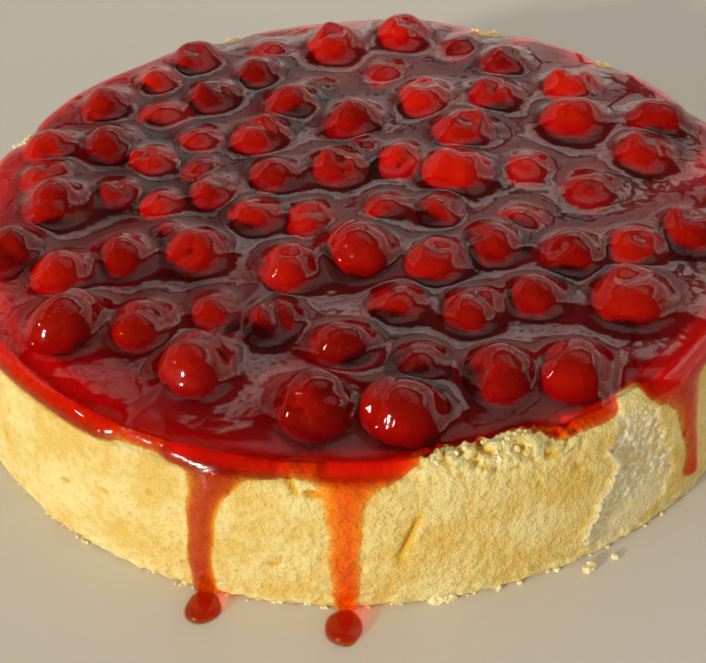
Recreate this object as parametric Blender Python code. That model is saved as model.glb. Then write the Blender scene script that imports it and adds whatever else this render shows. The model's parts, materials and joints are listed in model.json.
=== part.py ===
"""A baked cheesecake under cherries in red jelly, 200 mm across at its foot.

Run it with: blender --background --python part.py

The front of the cake faces -Y, +Z is up, and the origin is the middle of the flat base.
The pieces are the cake, a pale crust filled flush with a shallow well left inside its rim,
the jelly that fills the well, laps over the rim and runs down the side in three drips,
and the cherries that stand out of the jelly.
"""

import math
import random

import bmesh
import bpy
from mathutils import Matrix, Vector, noise

MM = 0.001

# The cake. Radii and heights are in millimetres until a mesh is finished.
FOOT_RADIUS = 100.0
RIM_RADIUS = 93.0
RIM_HEIGHT = 35.2
WELL_FLOOR = 27.5
WELL_RADIUS = 88.5
CAKE_COLUMNS = 84

# The jelly
JELLY_LEVEL = 37.2
JELLY_COLUMNS = 60
JELLY_REACH = 97.0
SKIN_GAP = 0.4

# The cherries
CHERRY_SEED = 11
CHERRY_UNEVENNESS = 0.03
CHERRY_LIFT = 0.9
CHERRY_GAP = 0.5
CHERRY_SIDES = 8

# Where the cherries stand, by row from the back of the cake to its front:
# how far back the row is, the radius of its cherries, how far to the right each of them is
CHERRY_ROWS = (
    (80, 7.6, (16,)),
    (74, 7.8, (-4,)),
    (70, 7.0, (-43,)),
    (59, 6.9, (-25, 43)),
    (58, 6.6, (-53,)),
    (51, 5.5, (-8,)),
    (48, 6.8, (-37,)),
    (46, 7.0, (-66,)),
    (43, 7.4, (59,)),
    (41, 7.2, (-16, 19, 38)),
    (31, 7.4, (0,)),
    (27, 7.6, (57,)),
    (25, 7.0, (-78, -62, -24)),
    (24, 7.6, (78,)),
    (22, 7.8, (28,)),
    (16, 6.5, (-51,)),
    (11, 6.7, (-77, 12)),
    (9, 7.0, (-4, 72)),
    (6, 6.6, (-20,)),
    (4, 8.5, (25,)),
    (3, 5.9, (-58,)),
    (1, 6.4, (-34,)),
    (-3, 7.6, (-73,)),
    (-10, 6.9, (-24,)),
    (-12, 6.2, (-11, 20)),
    (-21, 7.2, (-80,)),
    (-24, 7.0, (-53, -37)),
    (-25, 6.8, (76,)),
    (-26, 6.6, (30,)),
    (-27, 8.5, (1,)),
    (-30, 6.9, (-67, 62)),
    (-32, 7.2, (-16, 17, 47)),
    (-46, 6.5, (-31, 38)),
    (-49, 8.1, (-64, 58)),
    (-50, 6.8, (-47, -19, 24)),
    (-59, 6.8, (-4,)),
    (-65, 7.6, (-34,)),
    (-72, 7.3, (27, 42)),
    (-79, 8.2, (-10,)),
    (-81, 8.2, (7,)),
)

# Cherries that lie under the jelly and only raise it into low mounds: middle and width of each mound
SUNK_CHERRIES = (
    (-22, 74, 13), (32, 71, 14), (10, 58, 12), (-50, 40, 15), (-40, 26, 13),
    (-38, 12, 11), (3, 18, 10), (42, 7, 14), (-47, -3, 10), (7, -9, 10),
    (56, -5, 16), (38, -17, 12), (-44, -16, 8), (8, -46, 13), (11, -66, 13),
)

CRUST = ("crust", (0.80, 0.62, 0.30), 0.85)
JELLY = ("jelly", (0.35, 0.01, 0.01), 0.08)
CHERRY = ("cherry", (0.55, 0.02, 0.015), 0.15)


def clear_scene():
    for obj in list(bpy.data.objects):
        bpy.data.objects.remove(obj)


def finish_material(name, colour, roughness):
    material = bpy.data.materials.new(name)
    material.use_nodes = True
    shader = material.node_tree.nodes["Principled BSDF"]
    shader.inputs["Base Color"].default_value = (*colour, 1.0)
    shader.inputs["Roughness"].default_value = roughness
    return material


def add_object(name, mesh, material=None, collection=None):
    obj = bpy.data.objects.new(name, mesh)
    (collection or bpy.context.scene.collection).objects.link(obj)
    if material is not None:
        mesh.materials.append(material)
    return obj


def helper_collection(name):
    """A collection for the shapes that a Boolean joins or cuts away."""
    collection = bpy.data.collections.new(name)
    bpy.context.scene.collection.children.link(collection)
    return collection


def add_helper(name, mesh, collection):
    obj = add_object(name, mesh, collection=collection)
    obj.hide_render = True
    obj.display_type = "WIRE"
    return obj


def fold(target, collection, operation):
    """Joins a collection's shapes to the target, or cuts them out of it, and then removes them."""
    modifier = target.modifiers.new(operation.title(), "BOOLEAN")
    modifier.operation = operation
    modifier.operand_type = "COLLECTION"
    modifier.collection = collection
    modifier.solver = "EXACT"
    graph = bpy.context.evaluated_depsgraph_get()
    made = bpy.data.meshes.new_from_object(target.evaluated_get(graph))
    target.modifiers.clear()
    target.data = made
    for obj in list(collection.objects):
        bpy.data.objects.remove(obj)
    bpy.data.collections.remove(collection)


def loft(name, rings, low_point, high_point):
    """A closed mesh through rings of points, each ring running anticlockwise seen from the high point."""
    shape = bmesh.new()
    low = shape.verts.new(low_point)
    high = shape.verts.new(high_point)
    loops = [[shape.verts.new(point) for point in ring] for ring in rings]
    count = len(loops[0])
    for i in range(count):
        j = (i + 1) % count
        shape.faces.new((low, loops[0][j], loops[0][i]))
        shape.faces.new((high, loops[-1][i], loops[-1][j]))
        for lower, upper in zip(loops, loops[1:]):
            shape.faces.new((lower[i], lower[j], upper[j]))
            shape.faces.new((lower[i], upper[j], upper[i]))
    mesh = bpy.data.meshes.new(name)
    shape.to_mesh(mesh)
    shape.free()
    return mesh


def turned(name, profile_at, columns):
    """A solid turned about Z. profile_at(angle) gives the same number of (radius, height) points
    for every angle, from the lower end of the axis, outwards and up, to its upper end."""
    profiles = [profile_at(2 * math.pi * i / columns) for i in range(columns)]
    rings = []
    for k in range(1, len(profiles[0]) - 1):
        ring = []
        for i, profile in enumerate(profiles):
            angle = 2 * math.pi * i / columns
            radius, height = profile[k]
            ring.append((radius * math.cos(angle), radius * math.sin(angle), height))
        rings.append(ring)
    return loft(name, rings, (0, 0, profiles[0][0][1]), (0, 0, profiles[0][-1][1]))


def smooth_between(value, start, end):
    share = min(1.0, max(0.0, (value - start) / (end - start)))
    return share * share * (3 - 2 * share)


def degrees_apart(angle, middle):
    """How far an angle in radians is from a middle in degrees, in degrees."""
    return abs((math.degrees(angle) - middle + 180) % 360 - 180)


def bump(angle, middle, half_width):
    """1 within a sector of the cake and 0 outside it, with soft ends."""
    return 1 - smooth_between(degrees_apart(angle, middle), 0.6 * half_width, 1.2 * half_width)


# The crust's outline from the middle of its base to the middle of the well: radius, height
CAKE_PROFILE = (
    (0.0, 0.0),
    (FOOT_RADIUS - 2.2, 0.0),
    (FOOT_RADIUS - 0.2, 2.4),
    (FOOT_RADIUS - 0.1, 8.0),
    (FOOT_RADIUS - 1.0, 16.0),
    (FOOT_RADIUS - 2.0, 24.0),
    (FOOT_RADIUS - 3.2, 30.5),
    (FOOT_RADIUS - 5.4, 34.2),
    (RIM_RADIUS, RIM_HEIGHT),
    (RIM_RADIUS - 2.0, 33.2),
    (WELL_RADIUS, WELL_FLOOR),
    (0.0, WELL_FLOOR),
)
FIRST_ROUGH_POINT, LAST_ROUGH_POINT = 2, 9

# The torn patch at the right of the front, where the crust's skin has peeled off the side
PATCH_ANGLE = -56.5
PATCH_HALF_WIDTH = 7.0
PATCH_DEPTH = 1.3
PATCH_LOW, PATCH_HIGH = 3.0, 30.0
PATCH_LEAN = 0.25  # degrees to the right for each millimetre up


def patch_depth(angle, height):
    middle = PATCH_ANGLE + PATCH_LEAN * (height - 15.0)
    inside_height = smooth_between(height, PATCH_LOW - 2, PATCH_LOW + 3)
    inside_height *= 1 - smooth_between(height, PATCH_HIGH - 4, PATCH_HIGH + 2)
    return PATCH_DEPTH * bump(angle, middle, PATCH_HALF_WIDTH) * inside_height


def roughness_of(angle, radius, height):
    """The crags of the crust: low on the side, higher along the broken rim."""
    spot = Vector((radius * math.cos(angle), radius * math.sin(angle), height))
    on_rim = smooth_between(height, 29.0, 35.0)
    broad = 0.45 * noise.noise(spot / 16.0)
    fine = (0.30 + 0.55 * on_rim) * noise.noise(spot / 5.0 + Vector((7.0, 3.0, 1.0)))
    return broad + fine


def cake_profile(angle):
    """The crust's outline at one angle, crags and all."""
    points = []
    for k, (radius, height) in enumerate(CAKE_PROFILE):
        if FIRST_ROUGH_POINT <= k <= LAST_ROUGH_POINT:
            crag = roughness_of(angle, radius, height)
            on_rim = smooth_between(height, 29.0, 35.0)
            radius += crag * (1 - 0.6 * on_rim) - patch_depth(angle, height)
            height += crag * on_rim
        points.append((radius, height))
    return points


def grown_cake(name, gap):
    """The cake's shape with its skin moved outwards by a gap, which makes room for it in the jelly."""
    mesh = turned(name, cake_profile, CAKE_COLUMNS)
    shape = bmesh.new()
    shape.from_mesh(mesh)
    shape.normal_update()
    moves = [(vert, vert.normal * gap * vert.calc_shell_factor()) for vert in shape.verts]
    for vert, move in moves:
        vert.co += move
    shape.to_mesh(mesh)
    shape.free()
    return mesh


# Sectors where the rim stays bare of jelly: middle angle, half its width in degrees, how far the jelly draws back
BARE_SECTORS = (
    (-68.0, 13.0, 7.5),
    (-118.5, 4.0, 1.5),
    (64.0, 7.0, 5.5),
    (41.0, 5.0, 4.5),
    (112.0, 6.0, 4.5),
    (158.0, 8.0, 5.0),
    (20.0, 6.0, 3.5),
)


def jelly_reach(angle):
    """How far from the axis the jelly's edge lies."""
    wave = 0.5 * math.sin(5 * angle + 0.7) + 0.35 * math.sin(11 * angle)
    drawn_back = sum(back * bump(angle, middle, half) for middle, half, back in BARE_SECTORS)
    return JELLY_REACH + wave - drawn_back


def jelly_profile(angle):
    reach = jelly_reach(angle)
    return (
        (0.0, WELL_FLOOR - 3.5),
        (reach - 6.0, WELL_FLOOR - 1.5),
        (reach - 1.2, 29.5),
        (reach + 0.7, 32.4),
        (reach + 0.3, 34.9),
        (reach - 2.6, 36.7),
        (reach - 7.0, JELLY_LEVEL - 0.1),
        (reach - 22.0, JELLY_LEVEL + 0.2 + 0.3 * math.sin(7 * angle)),
        (reach - 50.0, JELLY_LEVEL - 0.2 + 0.3 * math.sin(4 * angle + 1)),
        (0.0, JELLY_LEVEL),
    )


def side_radius(height):
    """The crust's outer radius at a height up its side, with no crags."""
    side = CAKE_PROFILE[2:9]
    for (r0, z0), (r1, z1) in zip(side, side[1:]):
        if height <= z1:
            return r0 + (r1 - r0) * max(0.0, (height - z0) / (z1 - z0))
    return side[-1][0]


# The drips: angle, heights of the stations down the side, and the jelly's half width at each
DRIPS = {
    "left": {
        "angle": -110.6,
        "lean": 3.0,
        "stations": ((34.4, 8.0), (31.0, 6.6), (27.0, 4.4), (21.0, 3.5), (12.0, 3.1), (5.0, 3.0), (1.2, 3.3)),
    },
    "middle": {
        "angle": -93.4,
        "lean": 1.0,
        "stations": ((34.4, 8.6), (31.5, 6.6), (27.5, 4.6), (20.0, 3.7), (12.0, 3.3), (5.0, 3.0), (1.2, 3.2)),
    },
    "right": {
        "angle": -46.6,
        "lean": -2.0,
        "stations": ((34.4, 9.0), (31.5, 6.5), (27.0, 3.8), (20.0, 2.7), (13.0, 2.4), (9.0, 2.9), (6.6, 2.2)),
    },
}
DRIP_THICKNESS = 1.7
DRIP_SIDES = 10

# The drops that have run off the two long drips: angle, distance from the axis, length outwards, width
PUDDLES = ((-109.8, 103.6, 4.2, 3.7), (-93.6, 104.6, 4.6, 3.8))
PUDDLE_HEIGHT = 2.4
PUDDLE_OUTLINE = ((0.86, 0.0), (1.0, 0.3), (0.88, 0.72), (0.5, 0.96))  # share of the width, of the height
PUDDLE_SIDES = 12


def drip_mesh(name, drip):
    """A flattened tube that follows the side, half of it inside the crust."""
    rings = []
    stations = drip["stations"]
    top = stations[0][0]
    for height, half_width in reversed(stations):
        share_up = (height / top) ** 3
        angle = math.radians(drip["angle"] + drip["lean"] * share_up)
        out = Vector((math.cos(angle), math.sin(angle), 0.0))
        across = Vector((-math.sin(angle), math.cos(angle), 0.0))
        middle = out * side_radius(height) + Vector((0, 0, height))
        ring = []
        for i in range(DRIP_SIDES):
            turn = 2 * math.pi * i / DRIP_SIDES
            ring.append(middle + out * DRIP_THICKNESS * math.cos(turn) + across * half_width * math.sin(turn))
        rings.append(ring)
    ends = [sum(ring, Vector()) / DRIP_SIDES for ring in (rings[0], rings[-1])]
    return loft(name, rings, ends[0] - Vector((0, 0, 0.7)), ends[1] + Vector((0, 0, 1.0)))


def puddle_mesh(name, angle, distance, length, width):
    out = Vector((math.cos(math.radians(angle)), math.sin(math.radians(angle)), 0.0))
    across = Vector((-out.y, out.x, 0.0))
    rings = []
    for share, high in PUDDLE_OUTLINE:
        ring = []
        for i in range(PUDDLE_SIDES):
            turn = 2 * math.pi * i / PUDDLE_SIDES
            spot = out * (distance + share * length * math.cos(turn)) + across * share * width * math.sin(turn)
            ring.append(spot + Vector((0, 0, high * PUDDLE_HEIGHT)))
        rings.append(ring)
    middle = out * distance
    return loft(name, rings, middle, middle + Vector((0, 0, PUDDLE_HEIGHT)))


def resting_height(distance, radius):
    """The height of a ball's middle when it lies on the well's floor or against the rim's inner slope."""
    reach = radius + CHERRY_LIFT
    height = WELL_FLOOR + reach
    inner = CAKE_PROFILE[7:11]
    steps = 12
    for (r0, z0), (r1, z1) in zip(inner, inner[1:]):
        for i in range(steps + 1):
            r = r0 + (r1 - r0) * i / steps
            z = z0 + (z1 - z0) * i / steps
            if abs(r - distance) < reach:
                height = max(height, z + math.sqrt(reach**2 - (r - distance) ** 2))
    return height


def cherry_plan():
    """The middle and radius of each standing cherry, as large as its neighbours leave room for."""
    draw = random.Random(CHERRY_SEED)
    wanted = []
    for y, radius, row in CHERRY_ROWS:
        for x in row:
            wanted.append((Vector((x, y, 0.0)), radius * (1 + CHERRY_UNEVENNESS * draw.uniform(-1, 1))))
    plan = []
    for i, (spot, radius) in enumerate(wanted):
        share = min(
            1.0,
            min(((spot - other).length - CHERRY_GAP) / (radius + size)
                for j, (other, size) in enumerate(wanted) if j != i),
        )
        radius *= share
        plan.append((Vector((spot.x, spot.y, resting_height(spot.length, radius))), radius))
    return plan


# A pitted cherry's outline from its round end to the dimple where the stalk was: radius, height, as shares
CHERRY_OUTLINE = ((0.60, -0.74), (0.97, -0.16), (0.88, 0.46), (0.42, 0.86))
CHERRY_ENDS = (-0.95, 0.70)


def cherry_mesh(name, middle, radius, turn):
    rings = []
    for share, high in CHERRY_OUTLINE:
        ring = []
        for i in range(CHERRY_SIDES):
            angle = 2 * math.pi * i / CHERRY_SIDES
            ring.append((share * math.cos(angle), share * math.sin(angle), high))
        rings.append(ring)
    mesh = loft(name, rings, (0, 0, CHERRY_ENDS[0]), (0, 0, CHERRY_ENDS[1]))
    mesh.transform(Matrix.Translation(middle) @ turn @ Matrix.Scale(radius, 4))
    return mesh


def cherry_turn(draw):
    """Each cherry lies its own way round, its dimple mostly upwards."""
    lean = Matrix.Rotation(math.radians(draw.uniform(10, 75)), 4, "X")
    spin = Matrix.Rotation(draw.uniform(0, 2 * math.pi), 4, "Z")
    return spin @ lean


def mound_mesh(name, x, y, width):
    """A low round mound over a sunk cherry."""
    rings = []
    for share, high in ((0.7, -1.6), (1.0, -0.6), (0.72, 1.1)):
        rings.append([
            (x + share * width / 2 * math.cos(a), y + share * width / 2 * math.sin(a), JELLY_LEVEL + high)
            for a in (2 * math.pi * i / CHERRY_SIDES for i in range(CHERRY_SIDES))
        ])
    return loft(name, rings, (x, y, JELLY_LEVEL - 2.0), (x, y, JELLY_LEVEL + 1.7))


def scale_to_metres(obj):
    obj.data.transform(Matrix.Scale(MM, 4))


def shade_round(obj):
    obj.data.shade_smooth()
    obj.data.set_sharp_from_angle(angle=math.radians(50))


def build_cake(material):
    cake = add_object("cake", turned("cake", cake_profile, CAKE_COLUMNS), material)
    scale_to_metres(cake)
    shade_round(cake)


def build_jelly(material, cherries):
    jelly = add_object("cherry_jelly", turned("cherry_jelly", jelly_profile, JELLY_COLUMNS), material)
    joined = helper_collection("jelly_joined")
    for name, drip in DRIPS.items():
        add_helper(f"drip_{name}", drip_mesh(f"drip_{name}", drip), joined)
    for i, puddle in enumerate(PUDDLES):
        add_helper(f"puddle_{i}", puddle_mesh(f"puddle_{i}", *puddle), joined)
    for i, (x, y, width) in enumerate(SUNK_CHERRIES):
        add_helper(f"mound_{i}", mound_mesh(f"mound_{i}", x, y, width), joined)
    fold(jelly, joined, "UNION")

    cut = helper_collection("jelly_cut")
    add_helper("cake_room", grown_cake("cake_room", SKIN_GAP), cut)
    for i, (middle, radius, turn) in enumerate(cherries):
        add_helper(f"cherry_room_{i}", cherry_mesh(f"cherry_room_{i}", middle, radius + SKIN_GAP, turn), cut)
    fold(jelly, cut, "DIFFERENCE")
    scale_to_metres(jelly)
    shade_round(jelly)


def build_cherries(material, cherries):
    for i, (middle, radius, turn) in enumerate(cherries, start=1):
        name = f"cherry_{i:02d}"
        cherry = add_object(name, cherry_mesh(name, Vector(), radius, turn), material)
        scale_to_metres(cherry)
        cherry.location = middle * MM
        shade_round(cherry)


def main():
    clear_scene()
    draw = random.Random(CHERRY_SEED + 1)
    cherries = [(middle, radius, cherry_turn(draw)) for middle, radius in cherry_plan()]
    build_cake(finish_material(*CRUST))
    build_jelly(finish_material(*JELLY), cherries)
    build_cherries(finish_material(*CHERRY), cherries)


main()
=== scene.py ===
import json
import math
import random

import bmesh
import bpy
import numpy as np
from mathutils import Euler, Matrix, Vector, noise
from mathutils.bvhtree import BVHTree

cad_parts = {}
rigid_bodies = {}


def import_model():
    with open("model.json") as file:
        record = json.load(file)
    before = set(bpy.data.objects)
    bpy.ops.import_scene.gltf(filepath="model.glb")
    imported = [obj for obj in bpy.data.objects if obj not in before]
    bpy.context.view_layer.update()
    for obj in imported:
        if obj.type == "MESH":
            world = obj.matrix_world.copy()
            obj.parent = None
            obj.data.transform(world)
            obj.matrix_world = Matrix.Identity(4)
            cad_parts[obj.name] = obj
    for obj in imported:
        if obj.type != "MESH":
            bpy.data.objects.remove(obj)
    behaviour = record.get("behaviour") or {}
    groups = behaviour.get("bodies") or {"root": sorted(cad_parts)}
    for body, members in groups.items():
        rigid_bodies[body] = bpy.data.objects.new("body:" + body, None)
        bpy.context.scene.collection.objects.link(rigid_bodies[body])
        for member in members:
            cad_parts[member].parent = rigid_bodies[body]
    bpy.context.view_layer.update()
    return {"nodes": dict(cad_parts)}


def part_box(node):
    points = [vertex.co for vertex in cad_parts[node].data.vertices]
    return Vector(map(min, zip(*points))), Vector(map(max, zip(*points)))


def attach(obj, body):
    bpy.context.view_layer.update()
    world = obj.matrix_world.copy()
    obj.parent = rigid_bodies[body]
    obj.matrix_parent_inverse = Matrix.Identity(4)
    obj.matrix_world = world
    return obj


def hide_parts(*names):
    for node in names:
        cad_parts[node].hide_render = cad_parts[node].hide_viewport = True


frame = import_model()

# Everything is worked out in millimetres and becomes metres when a mesh is made.
mm = 0.001

footRadius = 100.0
rimHeight = 35.0
wellFloor = 27.5


# Shader maths
# A Link wraps a socket, so that masks and mixes can be written as sums.

def operator(operation, swapped=False):
    def work(self, other):
        values = (other, self) if swapped else (self, other)
        return self.recipe.add("ShaderNodeMath", {"operation": operation}, *values)
    return work


class Link:
    __add__, __radd__ = operator("ADD"), operator("ADD", True)
    __sub__, __rsub__ = operator("SUBTRACT"), operator("SUBTRACT", True)
    __mul__, __rmul__ = operator("MULTIPLY"), operator("MULTIPLY", True)
    __truediv__ = operator("DIVIDE")

    def __init__(self, recipe, socket):
        self.recipe = recipe
        self.socket = socket

    def size(self):
        return self.recipe.add("ShaderNodeMath", {"operation": "ABSOLUTE"}, self)

    def between(self, low, high):
        # 0 below low, 1 above high and smooth in between
        return self.recipe.add("ShaderNodeMapRange", {"interpolation_type": "SMOOTHSTEP"},
                               self, low, high, 0.0, 1.0)


class Recipe:
    # A node tree being written. add makes one node: its settings first, then its sockets in order.
    def __init__(self, tree):
        self.tree = tree
        tree.nodes.clear()

    def add(self, kind, settings=None, *values, out=0, named=None):
        node = self.tree.nodes.new(kind)
        for key, value in (settings or {}).items():
            setattr(node, key, value)
        sockets = [s for s in node.inputs if s.enabled]
        pairs = list(zip(sockets, values)) + [(node.inputs[k], v) for k, v in (named or {}).items()]
        for socket, value in pairs:
            self.feed(socket, value)
        if not node.outputs:
            return node
        if isinstance(out, str):
            return Link(self, node.outputs[out])
        return Link(self, [s for s in node.outputs if s.enabled][out])

    def feed(self, socket, value):
        if isinstance(value, Link):
            self.tree.links.new(value.socket, socket)
        elif value is not None:
            if hasattr(value, "__len__") and len(value) == 3 and len(socket.default_value) == 4:
                value = (*value, 1.0)
            socket.default_value = value

    def blend(self, share, first, second):
        return self.add("ShaderNodeMix", {"data_type": "RGBA"}, share, first, second)

    def place(self):
        return self.add("ShaderNodeTexCoord", out="Object")

    def noise(self, scale, detail=2.0, roughness=0.5):
        # scale is in repeats for each metre
        return self.add("ShaderNodeTexNoise", None, named={
            "Vector": self.place(), "Scale": scale, "Detail": detail, "Roughness": roughness})

    def cells(self, scale):
        return self.add("ShaderNodeTexVoronoi", None, named={"Vector": self.place(), "Scale": scale})

    def field(self, name):
        return self.add("ShaderNodeAttribute", {"attribute_name": name}, out="Fac")

    def bump(self, height, strength, distance, under=None):
        named = {"Height": height, "Strength": strength, "Distance": distance}
        if under:
            named["Normal"] = under
        return self.add("ShaderNodeBump", None, named=named)

    def finish(self, surface, volume=None):
        named = {"Surface": surface}
        if volume:
            named["Volume"] = volume
        self.add("ShaderNodeOutputMaterial", None, named=named)


def newMaterial(name):
    material = bpy.data.materials.new(name)
    material.use_nodes = True
    return material, Recipe(material.node_tree)


# Meshes

def addPiece(name, mesh, material=None):
    piece = bpy.data.objects.new(name, mesh)
    bpy.context.scene.collection.objects.link(piece)
    if material:
        mesh.materials.clear()
        mesh.materials.append(material)
    return piece


def takeMesh(name, shape):
    mesh = bpy.data.meshes.new(name)
    shape.to_mesh(mesh)
    shape.free()
    return mesh


def meshFrom(name, points, faces, fields=None):
    # points in millimetres; fields are numbers kept at each point for the materials
    mesh = bpy.data.meshes.new(name)
    mesh.from_pydata((np.asarray(points, dtype=float) * mm).tolist(), [], faces)
    for field, values in (fields or {}).items():
        layer = mesh.attributes.new(field, "FLOAT", "POINT")
        layer.data.foreach_set("value", np.asarray(values, dtype=np.float32))
    mesh.update()
    mesh.shade_smooth()
    return mesh


def smoothPath(points, rounds=3):
    # rounds the corners of an outline and keeps its two ends
    path = np.asarray(points, dtype=float)
    for _ in range(rounds):
        near = 0.75 * path[:-1] + 0.25 * path[1:]
        far = 0.25 * path[:-1] + 0.75 * path[1:]
        inner = np.empty((2 * len(near), 2))
        inner[0::2], inner[1::2] = near, far
        path = np.vstack([path[:1], inner[1:-1], path[-1:]])
    return path


def along(path):
    steps = np.hypot(*np.diff(path, axis=0).T)
    return np.concatenate([[0.0], np.cumsum(steps)])


def ramp(value, low, high):
    share = np.clip((value - low) / (high - low), 0.0, 1.0)
    return share * share * (3 - 2 * share)


def apart(angle, middle):
    # degrees between an angle and a middle
    return (angle - middle + 180.0) % 360.0 - 180.0


def sector(angle, middle, halfWidth):
    return 1 - ramp(np.abs(apart(angle, middle)), 0.6 * halfWidth, 1.2 * halfWidth)


def roughField(points, size, octaves=3):
    # fractal noise at points in millimetres, about -1 to 1, whose largest lumps are of this size
    total = np.zeros(len(points))
    for k in range(octaves):
        shift = Vector((3.1, 7.7, 1.3)) * (k + 1)
        scale = 2.0 ** k / size
        total += np.array([noise.noise(Vector(p) * scale + shift) for p in points.tolist()]) / 1.8 ** k
    return total


def pickApplied(piece, name):
    # what the modifiers make of a piece, as a plain mesh of its own
    graph = bpy.context.evaluated_depsgraph_get()
    mesh = bpy.data.meshes.new_from_object(piece.evaluated_get(graph))
    mesh.name = name
    return mesh


# The crust

crust = {
    "columns": 940,
    "rowStep": 0.68,
    "wave": 0.24,  # soft dents of the side
    "waveSize": 17.0,
    "grain": 0.07,  # fine crumb on the side
    "crumbSize": 2.1,
    "fineSize": 1.15,
    "footGrain": 0.52,  # coarser crumb of the lowest band
    "footBand": 4.2,
    "footGroove": 0.22,  # the dent along the top of that band
    "rimGrain": 0.30,
    "breakDepth": 2.6,  # how rough the broken rim is
    "breakSize": 3.2,
    "leftFill": 2.6,  # how much the floor rises inside the left of the rim
    "leftMiddle": -160.0,
    "leftHalf": 42.0,
    "rimDip": 1.4,  # how much lower the rim is under the jelly
    "smallPits": 110,
    "seed": 5,
    "pale": (0.93, 0.765, 0.32),
    "golden": (0.81, 0.545, 0.12),
    "speckColour": (0.96, 0.83, 0.42),
    "pitColour": (0.84, 0.50, 0.05),
    "crumbColour": (0.98, 0.85, 0.40),
    # the sizes of what shows in its colour and relief, in repeats for each metre
    "broad": 75.0,
    "mottle": 420.0,
    "speck": 1500.0,
    "dots": 520.0,
    "pores": 820.0,
}

# The outline from under the foot to the floor of the well: how far inside the foot's radius, height
crustOutline = tuple((footRadius - inside, height) for inside, height in (
    (3.4, 0.0), (1.5, 0.0), (0.6, 1.6), (0.5, 8.0), (1.0, 16.0), (1.9, 24.0), (2.9, 29.5), (4.2, 32.6),
    (6.2, 34.6), (8.2, 35.2), (9.6, 34.4), (11.0, 32.6), (14.0, 29.8), (19.0, 28.1), (25.0, wellFloor),
    (27.0, wellFloor),
))

# Holes and slits that show: angle, height, half width, half height, lean to the right for each mm up,
# depth
namedPits = (
    (-129.9, 17.0, 1.5, 0.6, 1.1, 0.8), (-123.1, 20.0, 1.4, 0.9, -0.6, 0.45),
    (-116.6, 24.0, 0.8, 0.9, 0.0, 0.6), (-119.7, 16.5, 0.7, 0.7, 0.0, 0.5),
    (-143.0, 15.5, 0.9, 1.6, 0.2, 0.8), (-101.4, 12.2, 1.3, 0.5, 1.1, 0.7),
    (-100.6, 14.2, 0.4, 1.8, 0.1, 0.5), (-86.0, 18.4, 0.75, 5.8, 0.42, 1.3),
    (-88.3, 23.3, 0.35, 0.9, 0.0, 0.6), (-86.7, 12.5, 0.9, 0.6, 0.9, 0.6),
    (-82.1, 17.5, 0.6, 0.9, 0.1, 0.5), (-99.1, 31.8, 0.8, 2.2, -0.55, 1.2),
    (-96.6, 30.0, 1.7, 0.8, -0.5, 1.2), (-76.6, 32.4, 1.2, 0.5, -0.1, 0.5),
    (-79.6, 32.0, 1.0, 0.5, 0.05, 0.5), (-112.8, 13.0, 0.5, 0.7, 0.0, 0.4),
    (-79.8, 10.9, 0.6, 0.6, 0.5, 0.4), (-70.3, 25.7, 0.7, 1.0, 0.0, 0.6),
    (-68.5, 31.6, 1.2, 0.7, 0.2, 0.7), (-73.0, 31.0, 1.0, 0.5, -0.3, 0.6),
)

# The rim that broke off in crumbs: middle angle, half width in degrees
brokenRim = (-74.5, 11.0)

# The peeled patch: the angles of its two edges, at heights up the side
patch = {
    "heights": (2.0, 4.5, 7.5, 13.5, 20.0, 23.0, 27.0, 30.0, 34.0),
    "left": (-60.5, -63.4, -64.2, -62.6, -60.5, -59.4, -60.6, -59.2, -58.4),
    "right": (-58.5, -54.0, -51.2, -49.9, -51.4, -52.0, -52.3, -53.0, -54.2),
    "foot": (1.6, 2.8),  # the heights between which it begins
    "top": (31.5, 34.5),  # and ends
    "sink": 0.5,
    "ridge": 1.2,
    "grain": 0.55,
    "colour": (0.88, 0.68, 0.31),
    "smooth": (0.93, 0.77, 0.42),
    "glint": (1.0, 0.96, 0.74),
    "edge": (0.99, 0.93, 0.66),
}


def pitDepth(angle, height, pits):
    depth = np.zeros_like(angle)
    for middle, high, halfWide, halfHigh, lean, deep in pits:
        up = height - high
        across = np.radians(apart(angle, middle)) * footRadius - lean * up
        away = (across / halfWide) ** 2 + (up / halfHigh) ** 2
        depth = np.maximum(depth, deep * np.exp(-away ** 1.5))
    return depth


def patchShape(angle, height):
    # how much each point is part of the patch, of the ridge at its left and of its smooth corner
    left = np.interp(height, patch["heights"], patch["left"])
    right = np.interp(height, patch["heights"], patch["right"])
    wobble = 0.30 * np.sin(height * 1.1) + 0.12 * np.sin(height * 2.7 + 1.0)
    fromLeft = (angle - left - wobble * 0.5) * math.radians(footRadius)
    fromRight = (right + wobble - angle) * math.radians(footRadius)
    inside = np.minimum(fromLeft, fromRight)
    mask = ramp(inside, -0.2, 0.6) * ramp(height, *patch["foot"]) * (1 - ramp(height, *patch["top"]))
    ridge = np.exp(-((fromLeft + 0.1) / 0.6) ** 2)
    ridge = ridge * ramp(height, 3.5, 6.0) * (1 - ramp(height, 26.0, 28.5))
    smooth = ramp(fromLeft - 0.28 * height, 2.0, 4.5) * (1 - ramp(height, 10.0, 15.0))
    return mask, ridge, smooth


def covered(angle):
    # 1 where the jelly laps over the rim
    bare = sum(min(far / 3.0, 1.0) * sector(angle, middle, half) for middle, half, far in bareSectors)
    return 1 - np.clip(bare, 0.0, 1.0)


def rimDip(angle, height, radius):
    # the rim is lower wherever the jelly covers it
    onTop = ramp(height, 31.5, 34.4) * ramp(radius, footRadius - 15.0, footRadius - 11.0)
    return crust["rimDip"] * covered(angle) * onTop


def scatteredPits(count, seed):
    draw = random.Random(seed)
    pits = []
    for _ in range(count):
        size = draw.uniform(0.25, 0.75) ** 1.3
        pits.append((draw.uniform(-180, 180), draw.uniform(5, 31), size * draw.uniform(0.7, 1.1),
                     size * draw.uniform(0.9, 1.9), draw.uniform(-0.4, 0.4), draw.uniform(0.25, 0.7)))
    return pits


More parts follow.
